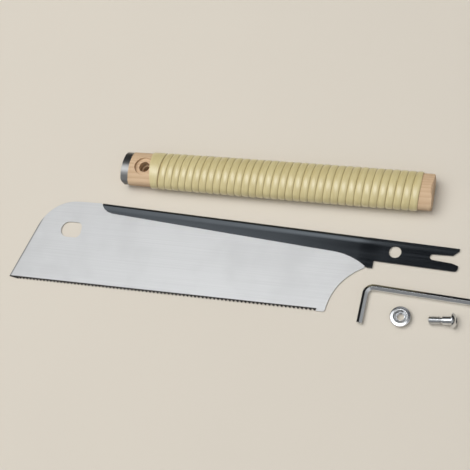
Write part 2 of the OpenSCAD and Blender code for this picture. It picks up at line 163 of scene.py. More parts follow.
class BladeSettings(bpy.types.PropertyGroup):
    """Toothed plate and folded back"""

    plate_soft: size("Plate edge", "Round of the plate's edges", 0.07)
    back_soft: size("Back edge", "Round of the back's sheared edges", 0.16)
    # Height of the darker strip along the teeth's tips.
    tooth_zone: size("Tooth zone", "Height of the hardened strip above the teeth's tips", 2.3)
    toe_bare: size("Bare toe", "Length of the edge in front of the first tooth", 8.2)
    tooth_row: size("Tooth row", "Length of the toothed edge", 240.0)
    toe_lean: angle("Toe lean", "Lean of the toe's straight edge", 16.8)
    # Width of the painted shade along the toe's straight edge.
    toe_shade_width: size("Ground toe", "Width of the dark ground edge along the toe", 1.8)
    back_lean: angle("Back lean", "Angle between the back and the teeth", 2.77)
    roll: size("Roll", "Width of the rounding along the back's upper edge", 1.8)
    roll_h: size("Roll height", "Drop of that rounding", 0.7)
    bead: size("Bead", "Width of the fold's bead, from the upper edge to the flat leaf", 5.4)
    bead_h: size("Bead height", "Height of the bead above the leaf", 0.28)
    bead_cuts: count("Bead cuts", "Strips that the bead is made of", 18, 4)
    bead_fade: bpy.props.FloatProperty(name="Bead fade", default=0.6, min=0, max=1,
                                       description="Share of the bead lost along the tang")
    leaf_t: size("Leaf thickness", "Thickness of one leaf of the folded back", 0.6)
    slope: size("CAD slope", "Length of the plain slope between the fold and the tang", 2.776)
    closing: size("Closing", "Length over which the two leaves close behind the plate", 17.0)
    plate: colour("Plate", "Brushed steel", (0.70, 0.707, 0.712))
    # Colour of the painted shade along the toe's straight edge.
    toe_shade: colour("Ground edge", "Dark ground steel along the toe", (0.11, 0.105, 0.10))
    # Colour of the darker strip along the teeth's tips.
    teeth: colour("Teeth", "Dark hardened teeth", (0.035, 0.031, 0.028))
    back: colour("Back", "Blue-black finish", (0.0025, 0.0032, 0.005))
    back_worn: colour("Back, worn", "Lighter rubbed streaks", (0.007, 0.008, 0.011))


class ClampSettings(bpy.types.PropertyGroup):
    """Bolt, nut and key"""

    thread_pitch: size("Thread pitch", "Pitch of the coarse M6 thread", 1.0)
    thread_r: size("Thread radius", "Half of the thread's outer diameter", 3.0)
    thread_h: size("Thread depth", "Height of the thread's ridge", 0.56)
    bolt_len: size("Bolt length", "Length below the head", 16.0)
    plain: size("Plain shank", "Smooth shoulder below the head", 6.6)
    relief: size("Relief", "Width of the groove behind the thread", 1.2)
    relief_r: size("Relief radius", "Half of the groove's diameter", 1.95)
    head_r: size("Head radius", "Half of the head's diameter", 5.25)
    head_h: size("Head height", "Height of the rounded head", 3.3)
    socket: size("Socket", "Width of the hex socket across its flats", 4.1)
    socket_depth: size("Socket depth", "Depth of the hex socket", 2.1)
    flange_r: size("Flange radius", "Half of the nut's flange diameter", 7.1)
    flange_t: size("Flange thickness", "Thickness of the nut's flange", 2.2)
    collar_r: size("Collar radius", "Half of the nut's collar diameter", 4.2)
    collar_h: size("Collar height", "Height of the collar below the flange", 2.4)
    sink_r: size("Countersink radius", "Half of the countersink's width at the nut's upper face", 4.6)
    sink_h: size("Countersink depth", "Depth of the nut's countersink", 1.7)
    dome: size("Flange dome", "Fall of the flange's upper face from the countersink to its rim", 0.3)
    bar: size("Key bar", "Width of the key's bar across its flats", 4.0)
    bar_soft: size("Key edge", "Round of the bar's long edges", 0.12)
    bar_end: size("Key end", "Chamfer of the bar's two ends", 0.3)
    key_long: size("Long arm", "Length of the key's long arm, over all", 74.0)
    key_short: size("Short arm", "Length of the key's short arm, over all", 29.0)
    key_bend: size("Bend", "Radius of the bend along the middle of the bar", 5.5)
    plating: colour("Plating", "Bright plated steel", (0.76, 0.77, 0.78))


class StageSettings(bpy.types.PropertyGroup):
    """Bench, light and camera"""

    floor: colour("Floor", "Plain pale floor", (0.70, 0.65, 0.57))
    sky: bpy.props.FloatProperty(name="Sky", description="Strength of the bright soft sky", default=1.0,
                                 min=0)
    lamp: bpy.props.FloatProperty(name="Lamp", description="Power of the large soft lamp", default=14.6,
                                  min=0, unit="POWER")
    lens: bpy.props.FloatProperty(name="Lens", description="Focal length", default=68.94, min=1,
                                  unit="CAMERA")


GROUPS = {"saw_grip": GripSettings, "saw_blade": BladeSettings, "saw_clamp": ClampSettings,
          "saw_stage": StageSettings}


class Nodes:
    """Tree of shader nodes under construction"""

    def __init__(self, tree):
        self.tree = tree

    def feed(self, node, inputs):
        """Gives each named input a link or a plain value."""
        for key, value in inputs.items():
            if isinstance(value, bpy.types.NodeSocket):
                self.tree.links.new(value, node.inputs[key])
            else:
                node.inputs[key].default_value = value

    def add(self, kind, inputs, **properties):
        """Adds a node and returns its outputs."""
        node = self.tree.nodes.new(kind)
        for key, value in properties.items():
            setattr(node, key, value)
        self.feed(node, inputs)
        return node.outputs

    def span(self, value, source, target):
        """Clamped smooth map of a value from one span to another."""
        ends = {"From Min": source[0], "From Max": source[1], "To Min": target[0], "To Max": target[1]}
        inputs = {"Value": value, **ends}
        return self.add("ShaderNodeMapRange", inputs, interpolation_type="SMOOTHSTEP")["Result"]


class Finish(Nodes):
    """Procedural finish of a piece, built around its shader"""

    def __init__(self, name):
        self.material = bpy.data.materials.new(name)
        self.material.use_nodes = True
        super().__init__(self.material.node_tree)
        self.shader = self.tree.nodes["Principled BSDF"]

    def place(self, turn=0.0, scale=(1, 1, 1), shift=(0, 0, 0)):
        """Object coordinates, shifted, turned about the vertical and stretched."""
        spot = self.add("ShaderNodeTexCoord", {})["Object"]
        inputs = {"Vector": spot, "Location": shift, "Rotation": (0, 0, turn),
                  "Scale": [1 / c for c in scale]}
        return self.add("ShaderNodeMapping", inputs, vector_type="TEXTURE")["Vector"]

    def noise(self, vector, detail, rough):
        """Soft noise of one cell per unit of a vector."""
        inputs = {"Vector": vector, "Scale": 1.0, "Detail": detail, "Roughness": rough}
        return self.add("ShaderNodeTexNoise", inputs)["Fac"]

    def split(self, vector):
        """Coordinates of a vector, by name."""
        return self.add("ShaderNodeSeparateXYZ", {"Vector": vector})

    def blend(self, factor, first, second):
        """Mix of two colours, each a socket or a linear RGB."""
        pair = [c if isinstance(c, bpy.types.NodeSocket) else (*c, 1) for c in (first, second)]
        return self.add("ShaderNodeMix", {"Factor": factor, 6: pair[0], 7: pair[1]}, data_type="RGBA")[2]

    def bump(self, height, strength, distance):
        """Fine relief from a height."""
        inputs = {"Height": height, "Strength": strength, "Distance": distance}
        self.feed(self.shader, {"Normal": self.add("ShaderNodeBump", inputs)["Normal"]})


def cane_finish(s):
    """Satin cane: fibres along the strip, tone that drifts from turn to turn, painted shade in the seams.
    """
    f = Finish("Cane")
    along = f.add("ShaderNodeAttribute", {}, attribute_name="strip_along")["Fac"]
    across = f.add("ShaderNodeAttribute", {}, attribute_name="strip_across")["Fac"]
    flow = f.add("ShaderNodeCombineXYZ", {"X": along, "Y": across})["Vector"]
    fine = f.add("ShaderNodeMapping", {"Vector": flow, "Scale": (55, 9, 1)})["Vector"]
    broad = f.add("ShaderNodeMapping", {"Vector": flow, "Scale": (20, 0.8, 1)})["Vector"]
    fibres = f.noise(fine, 4.0, 0.6)
    drift = f.noise(broad, 2.0, 0.5)
    rim = f.add("ShaderNodeMath", {0: across}, operation="ABSOLUTE")["Value"]
    tone = f.blend(f.span(fibres, (0.36, 0.68), (0.0, 0.55)), s.cane, s.cane_dark)
    tone = f.blend(f.span(drift, (0.35, 0.7), (0.0, 0.45)), tone, s.cane_dark)
    # Painted shade: the groove colour darkens each turn towards its edges, where the seams lie.
    tone = f.blend(f.span(rim, (0.84, 1.0), (0.0, 0.6)), tone, s.groove)
    f.feed(f.shader, {"Base Color": tone, "Roughness": f.span(fibres, (0.3, 0.75), (0.29, 0.38)),
                      "Specular IOR Level": 1.0, "Coat Weight": 0.9, "Coat Roughness": 0.32})
    f.bump(fibres, 0.35, 0.12 * MM)
    return f.material


def wood_finish(s):
    """Light wood with year rings along the stick and fine pores."""
    f = Finish("HandleWood")
    heart = f.place(0.02, (22, 145, 145), (0, 0.073, -0.012))
    wave = {"Vector": heart, "Scale": 1.0, "Distortion": 5.5, "Detail": 3.0, "Detail Scale": 0.4,
            "Detail Roughness": 0.55}
    rings = f.add("ShaderNodeTexWave", wave, wave_type="RINGS", rings_direction="X",
                  wave_profile="SAW")["Fac"]
    pores = f.noise(f.place(scale=(60, 1400, 1400)), 2.0, 0.6)
    drift = f.noise(f.place(scale=(18, 70, 70)), 2.0, 0.5)
    tone = f.blend(f.span(rings, (0.2, 1.0), (0.0, 0.5)), s.wood, s.wood_dark)
    tone = f.blend(f.span(pores, (0.58, 0.75), (0.0, 0.5)), tone, s.wood_dark)
    tone = f.blend(f.span(drift, (0.4, 0.7), (0.0, 0.3)), tone, s.wood_dark)
    f.feed(f.shader, {"Base Color": tone, "Roughness": f.span(pores, (0.35, 0.7), (0.5, 0.66)),
                      "Specular IOR Level": 0.3})
    f.bump(pores, 0.25, 0.1 * MM)
    return f.material


def metal_finish(name, base, grain, rough, streak, patch, turn=0.0, depth=0.01 * MM):
    """Metal with fine lines along one direction and a slow drift of tone, and the tone's socket."""
    f = Finish(name)
    lines = f.noise(f.place(turn, grain), 4.0, 0.65)
    drift = f.noise(f.place(turn, (28, 28, 60)), 3.0, 0.5)
    dark = [c * (1 - streak) for c in base]
    dull = [c * (1 - patch) for c in base]
    tone = f.blend(f.span(lines, (0.3, 0.72), (0.0, 1.0)), base, dark)
    tone = f.blend(f.span(drift, (0.42, 0.72), (0.0, 0.8)), tone, dull)
    f.feed(f.shader, {"Base Color": tone, "Roughness": f.span(lines, (0.3, 0.75), rough),
                      "Metallic": 1.0})
    f.bump(lines, 0.3, depth)
    return f, tone


def plate_finish(s, turn, tips, toe, edge):
    """Bright steel brushed along the teeth, with painted shade along the toe's edge and a darker strip at
    the teeth's tips.
    """
    f, tone = metal_finish("PlateSteel", s.plate, (9, 1500, 1500), (0.42, 0.54), 0.06, 0.11, turn)
    # Painted shade: the tone darkens in a strip along the toe's straight edge.
    from_toe = f.split(f.place(turn - s.toe_lean))["X"]
    tone = f.blend(f.span(from_toe, (edge, edge + s.toe_shade_width), (0.85, 0.0)), tone, s.toe_shade)
    # Darker strip along the teeth's tips, ending just behind the last tooth.
    place = f.split(f.place(turn))
    last = toe + s.toe_bare + s.tooth_row
    solid, high = tips + s.tooth_zone * TOOTH_SOLID, tips + s.tooth_zone
    strip = f.span(place["Y"], (solid, high), (1.0, 0.0))
    row = f.span(place["X"], (last, last + ROW_FADE), (1.0, 0.0))
    zone = f.add("ShaderNodeMath", {0: strip, 1: row}, operation="MULTIPLY")["Value"]
    f.feed(f.shader, {"Base Color": f.blend(zone, tone, s.teeth), "Metallic": 0.55})
    return f.material


def back_finish(s, turn):
    """Blue-black satin finish with rubbed streaks along the fold."""
    f = Finish("BluedBack")
    streaks = f.noise(f.place(turn, (14, 420, 420)), 3.0, 0.6)
    cloud = f.noise(f.place(turn, (45, 90, 90)), 3.0, 0.55)
    tone = f.blend(f.span(streaks, (0.45, 0.8), (0.0, 0.6)), s.back, s.back_worn)
    tone = f.blend(f.span(cloud, (0.45, 0.75), (0.0, 0.35)), tone, s.back_worn)
    f.feed(f.shader, {"Base Color": tone, "Roughness": f.span(streaks, (0.3, 0.75), (0.15, 0.22)),
                      "Specular IOR Level": 0.75, "Specular Tint": (0.84, 0.93, 1.0, 1)})
    f.bump(cloud, 1.0, 0.008 * MM)
    return f.material


def plated(s, name, rough):
    """Plating of a given range of roughness, made once."""
    found = bpy.data.materials.get(name)
    return found or metal_finish(name, s.plating, (260, 260, 260), rough, 0.07, 0.1)[0].material


def finish_piece(bm, name, body, node, material, sharp=38, even=True):
    """Turns a bmesh into a named piece that stands for a CAD node; even keeps flat faces evenly shaded."""
    mesh = bpy.data.meshes.new(name)
    bm.to_mesh(mesh)
    bm.free()
    piece = bpy.data.objects.new(name, mesh)
    bpy.context.scene.collection.objects.link(piece)
    mesh.materials.append(material)
    mesh.shade_smooth()
    mesh.set_sharp_from_angle(angle=radians(sharp))
    if even:
        piece.modifiers.new("even_shading", "WEIGHTED_NORMAL").keep_sharp = True
    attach(piece, body)
    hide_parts(node)


def made_of(kind, geometry):
    """Those elements of an operator's result that are of one kind."""
    return [g for g in geometry if isinstance(g, kind)]


def round_edges(bm, offset, segments, sharp):
    """Rounds every edge that is sharper than an angle in degrees."""
    edges = [e for e in bm.edges if len(e.link_faces) == 2 and e.calc_face_angle(0) > radians(sharp)]
    bmesh.ops.bevel(bm, geom=edges, offset=offset, offset_type="OFFSET", segments=segments, profile=0.5,
                    affect="EDGES", clamp_overlap=True, material=-1)


def softened(node, offset, segments=2):
    """Copy of a CAD node with its flat faces joined and its sharp edges rounded."""
    bm = bmesh.new()
    bm.from_mesh(NODES[node].data)
    bmesh.ops.remove_doubles(bm, verts=bm.verts, dist=NODE_WELD)
    bmesh.ops.dissolve_limit(bm, angle_limit=radians(FLAT_ANGLE), verts=bm.verts, edges=bm.edges)
    round_edges(bm, offset, segments, SHARP_ANGLE)
    return bm


def trim(bm, point, outward):
    """Cuts off what lies outside a plane; the cut stays open."""
    bmesh.ops.bisect_plane(bm, geom=bm.verts[:] + bm.edges[:] + bm.faces[:], dist=TRIM_SNAP, plane_co=point,
                           plane_no=outward, clear_outer=True)


def close(bm):
    """Fills every open loop and points the faces outwards."""
    bmesh.ops.holes_fill(bm, edges=[e for e in bm.edges if e.is_boundary], sides=0)
    bmesh.ops.recalc_face_normals(bm, faces=bm.faces)


def eased(value, low, high):
    """Share of the way from low to high, eased at both ends."""
    way = min(max((value - low) / (high - low), 0.0), 1.0)
    return way * way * (3 - 2 * way)


def handle_mouth():
    """Middle of the handle's mouth, and half of the handle's width and height, from the CAD stick."""
    low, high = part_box("handle_core")
    middle = (low.x, (low.y + high.y) / 2, (low.z + high.z) / 2)
    return middle, (high.y - low.y) / 2, (high.z - low.z) / 2


class Oval:
    """Four-arc oval of the wood under a layer of cane, from the middle of its top, towards the teeth"""

    def __init__(self, half_w, half_t, flank, layer):
        self.flank = flank
        self.flank_c = half_w - flank
        self.broad = (self.flank_c ** 2 + half_t ** 2 - flank ** 2) / (2 * (half_t - flank))
        self.broad_c = self.broad - half_t
        self.join = atan2(self.broad_c, self.flank_c)
        self.broad_out = self.broad + layer
        self.flank_out = flank + layer
        self.top = self.broad_out * (pi / 2 - self.join)
        self.side = self.flank_out * 2 * self.join
        self.girth = 4 * self.top + 2 * self.side

    def point(self, length, out):
        """Place in the section at a length around the cane, at a height out from the wood."""
        length = length % self.girth
        lower = length >= self.girth / 2
        length = length - self.girth / 2 if lower else length
        if length < self.top:
            turn = pi / 2 + length / self.broad_out
            centre, r = (0, -self.broad_c), self.broad
        elif length < self.top + self.side:
            turn = pi - self.join + (length - self.top) / self.flank_out
            centre, r = (-self.flank_c, 0), self.flank
        else:
            turn = pi + self.join + (length - self.top - self.side) / self.broad_out
            centre, r = (0, self.broad_c), self.broad
        y = centre[0] + (r + out) * cos(turn)
        z = centre[1] + (r + out) * sin(turn)
        return (-y, -z) if lower else (y, z)


class SAW_OT_grip(bpy.types.Operator):
    """Wind the cane around the handle, from a wide first turn to the tail"""

    bl_idname = "pull_saw.grip"
    bl_label = "Wound grip"

    def strip_section(self, bm, s, front, rear):
        """Closed section of the cane, with a crowned outer side and round edges."""
        across = bm.verts.layers.float["strip_across"]
        middle, half = (front + rear) / 2, (rear - front) / 2
        side = s.cane_t - s.crown
        flank = [(0, -CANE_SINK), (0, side - 0.5 * s.edge), (0.3 * s.edge, side - 0.12 * s.edge),
                 (s.edge, side + 0.35 * s.crown), (s.edge + 0.35 * half, s.cane_t - 0.2 * s.crown)]
        points = [(front + x, out) for x, out in flank]
        points.append((middle, s.cane_t))
        points += [(rear - x, out) for x, out in reversed(flank)]
        verts = []
        for x, out in points:
            v = bm.verts.new((x, 0, out + FORMER))
            v[across] = (x - middle) / half
            verts.append(v)
        return verts, [bm.edges.new(pair) for pair in zip(verts, verts[1:] + verts[:1])]

    def wind(self, bm, s, front, rear, first, turns):
        """Winds a strip on a round former and wraps it onto the oval; turns count from the tail."""
        (mouth_x, mouth_y, mouth_z), half_w, half_t = handle_mouth()
        oval = Oval(half_w, half_t, s.flank, s.cane_t)
        across = bm.verts.layers.float["strip_across"]
        along = bm.verts.layers.float["strip_along"]
        old = set(bm.verts)
        verts, edges = self.strip_section(bm, s, front, rear)
        made = bmesh.ops.spin(bm, geom=verts + edges, cent=(0, 0, 0), axis=(1, 0, 0),
                              dvec=(-s.pitch / CANE_STEPS, 0, 0), angle=2 * pi * turns,
                              steps=turns * CANE_STEPS, use_merge=False)["geom_last"]
        for rim in (edges, made_of(bmesh.types.BMEdge, made)):
            bmesh.ops.edgeloop_fill(bm, edges=rim)
        middle, half = (front + rear) / 2, (rear - front) / 2
        reach = s.turns * s.pitch / 2
        for v in (v for v in bm.verts if v not in old):
            local = middle + v[across] * half
            turn = first + (local - v.co.x) / s.pitch
            x = local + (s.turns - 1 - turn) * s.pitch
            out = sqrt(v.co.y ** 2 + v.co.z ** 2) - FORMER - s.swell * (x / reach - 1) ** 2
            y, z = oval.point(turn * oval.girth, out)
            v[along] = turn * oval.girth
            v.co = (mouth_x + s.first_groove + x, mouth_y + y, max(mouth_z + z, BENCH_GAP))

    def execute(self, context):
        s = context.scene.saw_grip
        mouth_x, mouth_y, mouth_z = handle_mouth()[0]
        bm = bmesh.new()
        bm.verts.layers.float.new("strip_across")
        bm.verts.layers.float.new("strip_along")
        gap = s.seam / 2
        # Both lengths begin and end under the handle
        self.wind(bm, s, gap, s.pitch - gap, -0.5, s.turns)
        self.wind(bm, s, -FIRST_EXTRA * s.pitch, s.pitch - s.first_gap, s.turns - 0.5, 1)
        trim(bm, (mouth_x + s.start, mouth_y, mouth_z), (-1, -s.start_lean, 0))
        trim(bm, (mouth_x + s.end, mouth_y, mouth_z), (1, 0, 0))
        close(bm)
        finish_piece(bm, "cane_winding", "handle", "grip_wrap", cane_finish(s), 50, False)
        return {"FINISHED"}


class SAW_OT_stick(bpy.types.Operator):
    """Finish the wooden stick, its ferrule and the hidden cross pin"""

    bl_idname = "pull_saw.stick"
    bl_label = "Stick and ferrule"

    def execute(self, context):
        s = context.scene.saw_grip
        stick = softened("handle_core", s.soft)
        finish_piece(stick, "wooden_stick", "handle", "handle_core", wood_finish(s))
        ferrule = softened("ferrule", s.band_soft, 3)
        band = metal_finish("FerruleSteel", s.band, (2400, 90, 90), (0.30, 0.36), 0.07, 0.16,
                            depth=0.004 * MM)[0]
        finish_piece(ferrule, "mouth_ferrule", "handle", "ferrule", band.material)
        pin = metal_finish("PinSteel", s.band, (40, 40, 1200), (0.3, 0.42), 0.1, 0.12)[0]
        NODES["anchor_pin"].data.materials.clear()
        NODES["anchor_pin"].data.materials.append(pin.material)
        return {"FINISHED"}


class SAW_OT_blade(bpy.types.Operator):
    """Finish the toothed plate and its folded back"""

    bl_idname = "pull_saw.blade"
    bl_label = "Blade and back"

    def corners(self, node, turn):
        """Corners of a CAD node, in a frame turned about the vertical."""
        return [Matrix.Rotation(-turn, 3, "Z") @ v.co for v in NODES[node].data.vertices]

    def shape_fold(self, bm, s, turn):
        """Rolls the fold's edge, raises its bead and eases its leaves' closing, on the upper side."""
        axes = Matrix.Rotation(turn, 3, "Z")
        places = self.corners("back_spine", turn)
        top, rear = max(p.y for p in places), max(p.x for p in places)
        throat = max(p.x for p in self.corners("saw_plate", turn))
        low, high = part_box("back_spine")
        middle, half = (low.z + high.z) / 2, (high.z - low.z) / 2
        first, last = throat - CLOSING_LEAD * s.closing, throat + (1 - CLOSING_LEAD) * s.closing
        cuts = [((0, top - s.bead * i / s.bead_cuts), 1) for i in range(1, s.bead_cuts + 1)]
        cuts += [((first + (last - first) * i / CLOSING_STEPS, 0), 0) for i in range(CLOSING_STEPS + 1)]
        for place, axis in cuts:
            bmesh.ops.bisect_plane(bm, geom=bm.verts[:] + bm.edges[:] + bm.faces[:], dist=FOLD_SNAP,
                                   plane_co=axes @ Vector((*place, middle)), plane_no=axes.col[axis])
        for v in bm.verts:
            if v.co.z > middle:
                place = axes.transposed() @ v.co
                plain = half + (s.leaf_t - half) * min(max((place.x - throat) / s.slope, 0.0), 1.0)
                closed = half + (s.leaf_t - half) * eased(place.x, first, last)
                bead = s.bead_h * (1 - s.bead_fade * eased(place.x, throat, rear))
                rise = bead * eased(place.y, top - s.bead, top - BEAD_CREST * s.roll)
                rise -= s.roll_h * eased(place.y, top - s.roll, top)
                v.co.z = middle + (v.co.z - middle) * closed / plain * (1 + rise / half)

    def execute(self, context):
        s = context.scene.saw_blade
        # The slide runs along the straight back, which leans on the tooth line
        away = Vector(JOINTS["blade_draw"]["axis"])
        back_turn = atan2(-away.y, -away.x)
        tooth_turn = back_turn + s.back_lean
        places = self.corners("saw_plate", tooth_turn)
        tips, toe = min(p.y for p in places), min(p.x for p in places)
        edge = min(p.x for p in self.corners("saw_plate", tooth_turn - s.toe_lean))
        plate = softened("saw_plate", s.plate_soft, 1)
        steel = plate_finish(s, tooth_turn, tips, toe, edge)
        finish_piece(plate, "toothed_plate", "blade", "saw_plate", steel, 25)
        back = softened("back_spine", s.back_soft)
        self.shape_fold(back, s, back_turn)
        finish_piece(back, "folded_back", "blade", "back_spine", back_finish(s, back_turn))
        return {"FINISHED"}


def lathe(bm, section):
    """Turns a half section of radii and heights about the vertical; one clear of the axis is closed."""
    verts = [bm.verts.new((r, 0, z)) for r, z in section]
    edges = [bm.edges.new(pair) for pair in zip(verts, verts[1:])]
    if section[0][0] > 0 and section[-1][0] > 0:
        edges.append(bm.edges.new((verts[-1], verts[0])))
    bmesh.ops.spin(bm, geom=verts + edges, cent=(0, 0, 0), axis=(0, 0, 1), angle=2 * pi, steps=LATHE_STEPS,
                   use_merge=True)
    bmesh.ops.remove_doubles(bm, verts=bm.verts, dist=WELD)


def ridge(bm, s, root, crest, low, high):
    """Thread's ridge from one height to another: a helical sweep, cut square at both ends."""
    foot, flat = RIDGE_FOOT * s.thread_pitch, RIDGE_CREST * s.thread_pitch
    # One turn more at each end than the thread keeps
    turns = round((high - low) / s.thread_pitch) + 2
    base = low - s.thread_pitch
    thread = bmesh.new()
    section = ((root, -foot), (crest, -flat), (crest, flat), (root, foot))
    verts = [thread.verts.new((r, 0, base + z)) for r, z in section]
    edges = [thread.edges.new(pair) for pair in zip(verts, verts[1:] + verts[:1])]
    bmesh.ops.spin(thread, geom=verts + edges, cent=(0, 0, 0), axis=(0, 0, 1),
                   dvec=(0, 0, s.thread_pitch / THREAD_STEPS), angle=2 * pi * turns,
                   steps=turns * THREAD_STEPS, use_merge=False)
    trim(thread, (0, 0, low), (0, 0, -1))
    trim(thread, (0, 0, high), (0, 0, 1))
    close(thread)
    mesh = bpy.data.meshes.new("thread_ridge")
    thread.to_mesh(mesh)
    thread.free()
    bm.from_mesh(mesh)
    bpy.data.meshes.remove(mesh)


class SAW_OT_bolt(bpy.types.Operator):
    """Turn the button-head bolt, sink its hex socket and cut its thread"""

    bl_idname = "pull_saw.bolt"
    bl_label = "Clamp bolt"

    # Head's straight rim and dome's rings; socket's mouth in half widths, its lead-in and drill point
    head_rim = 0.5 * MM
    dome_rings = 8
    socket_mouth = 1.27
    socket_lead = 0.12 * MM
    drill_point = 0.45 * MM
    # Small bevels of the tip, the shoulder, the head and the relief, and the round of the inner corners
    tip_in, tip_up = 0.45 * MM, 0.4 * MM
    shoulder_in, shoulder_up = 0.15 * MM, 0.18 * MM
    head_up = 0.16 * MM
    relief_up = 0.3 * MM
    fillet = 0.2 * MM
    # Sink of the ridge's foot into the core, the thread's start above the tip, and the tip's bevel
    foot_sink = 0.1 * MM
    thread_start = 0.35 * MM
    bevel_h, bevel_reach = 0.6 * MM, 1.0 * MM

    def dome(self, s):
        """Round of the head, from its rim to the socket's mouth."""
        dome_h = s.head_h - self.head_rim
        dome_r = (s.head_r ** 2 + dome_h ** 2) / (2 * dome_h)
        outer, inner = asin(s.head_r / dome_r), asin(s.socket / 2 * self.socket_mouth / dome_r)
        turns = [outer + (inner - outer) * i / self.dome_rings for i in range(1, self.dome_rings + 1)]
        return [(dome_r * sin(a), s.head_h - dome_r + dome_r * cos(a)) for a in turns]

    def sink_socket(self, bm, s, mouth):
        """Hex socket from the dome's open ring: in to the hexagon, down, and in to the drill's point."""
        ring = [e for e in bm.edges if e.is_boundary]
        floor = s.head_h - s.socket_depth
        for z, scale in ((mouth - self.socket_lead, 1.0), (floor, 1.0), (floor - self.drill_point, 0.0)):
            made = bmesh.ops.extrude_edge_only(bm, edges=ring)["geom"]
            ring = made_of(bmesh.types.BMEdge, made)
            for v in made_of(bmesh.types.BMVert, made):
                a = atan2(v.co.y, v.co.x)
                r = scale * s.socket / 2 / cos(a % (pi / 3) - pi / 6)
                v.co = (r * cos(a), r * sin(a), z)
        bmesh.ops.remove_doubles(bm, verts=bm.verts, dist=WELD)
        bmesh.ops.recalc_face_normals(bm, faces=bm.faces)

    def bevel_tip(self, bm, s, end):
        """Draws the thread in towards the bolt's end."""
        for v in bm.verts:
            r = sqrt(v.co.x ** 2 + v.co.y ** 2)
            limit = s.thread_r - max(0.0, end + self.bevel_h - v.co.z)
            if r > limit and v.co.z < end + self.bevel_reach:
                v.co.x *= limit / r
                v.co.y *= limit / r

    def execute(self, context):
        s = context.scene.saw_clamp
        core, shank = s.thread_r - s.thread_h, s.thread_r
        end, neck = -s.bolt_len, -s.plain - s.relief
        dome = self.dome(s)
        section = [(0, end), (core - self.tip_in, end), (core, end + self.tip_up),
                   (core, neck - self.fillet), (s.relief_r, neck), (s.relief_r, -s.plain - self.relief_up),
                   (s.relief_r + self.fillet, -s.plain), (shank - self.shoulder_in, -s.plain),
                   (shank, -s.plain + self.shoulder_up), (shank, -self.fillet), (shank + self.fillet, 0),
                   (s.head_r - self.fillet, 0), (s.head_r, self.head_up), (s.head_r, self.head_rim), *dome]
        bm = bmesh.new()
        lathe(bm, section)
        self.sink_socket(bm, s, dome[-1][1])
        ridge(bm, s, core - self.foot_sink, s.thread_r, end + self.thread_start, neck)
        self.bevel_tip(bm, s, end)
        joint = JOINTS["bolt_turn"]
        axis = Vector(joint["axis"])
        bm.transform(Matrix.Translation(joint["pos_m"]) @ Matrix.Rotation(atan2(axis.y, axis.x), 4, "Z")
                     @ Matrix.Rotation(pi / 2 - asin(axis.z), 4, "Y"))
        zinc = plated(s, "SatinZinc", (0.18, 0.27))
        finish_piece(bm, "button_bolt", "bolt", "clamp_bolt", zinc, 30)
        return {"FINISHED"}


class SAW_OT_nut(bpy.types.Operator):
    """Turn the flanged nut, countersink it and cut its thread"""

    bl_idname = "pull_saw.nut"
    bl_label = "Round nut"

    # Rings of the flange's dome, round of the edges, the bore's lead-in and its step in from the thread
    dome_rings = 6
    edge_round = 0.2 * MM
    bore_lead = 0.35 * MM
    bore_in = 0.04 * MM
    # Sink of the ridge's foot into the bore's wall, the ridge's height, and its start above the foot
    foot_sink = 0.06 * MM
    ridge_h = 0.5 * MM
    thread_start = 0.3 * MM

    def execute(self, context):
        s = context.scene.saw_clamp
        top = s.flange_t + s.collar_h
        seat = top - s.sink_h
        bore = s.thread_r - self.bore_in
        rings = [i / self.dome_rings for i in range(self.dome_rings, -1, -1)]
        dome = [(s.sink_r + (s.flange_r - s.sink_r) * u, top - s.dome * u * u) for u in rings]
        bm = bmesh.new()
        lathe(bm, [(bore + self.bore_lead, 0), (s.collar_r, 0), (s.collar_r, s.collar_h),
                   (s.flange_r, s.collar_h), *dome, (bore, seat), (bore, self.bore_lead)])
        bmesh.ops.recalc_face_normals(bm, faces=bm.faces)
        round_edges(bm, self.edge_round, 3, 30)
        ridge(bm, s, bore + self.foot_sink, s.thread_r - self.ridge_h, self.thread_start, seat)
        bm.transform(Matrix.Translation(JOINTS["nut_turn"]["pos_m"]))
        zinc = plated(s, "SatinZinc", (0.18, 0.27))
        finish_piece(bm, "flanged_nut", "nut", "clamp_nut", zinc, 32)
        return {"FINISHED"}


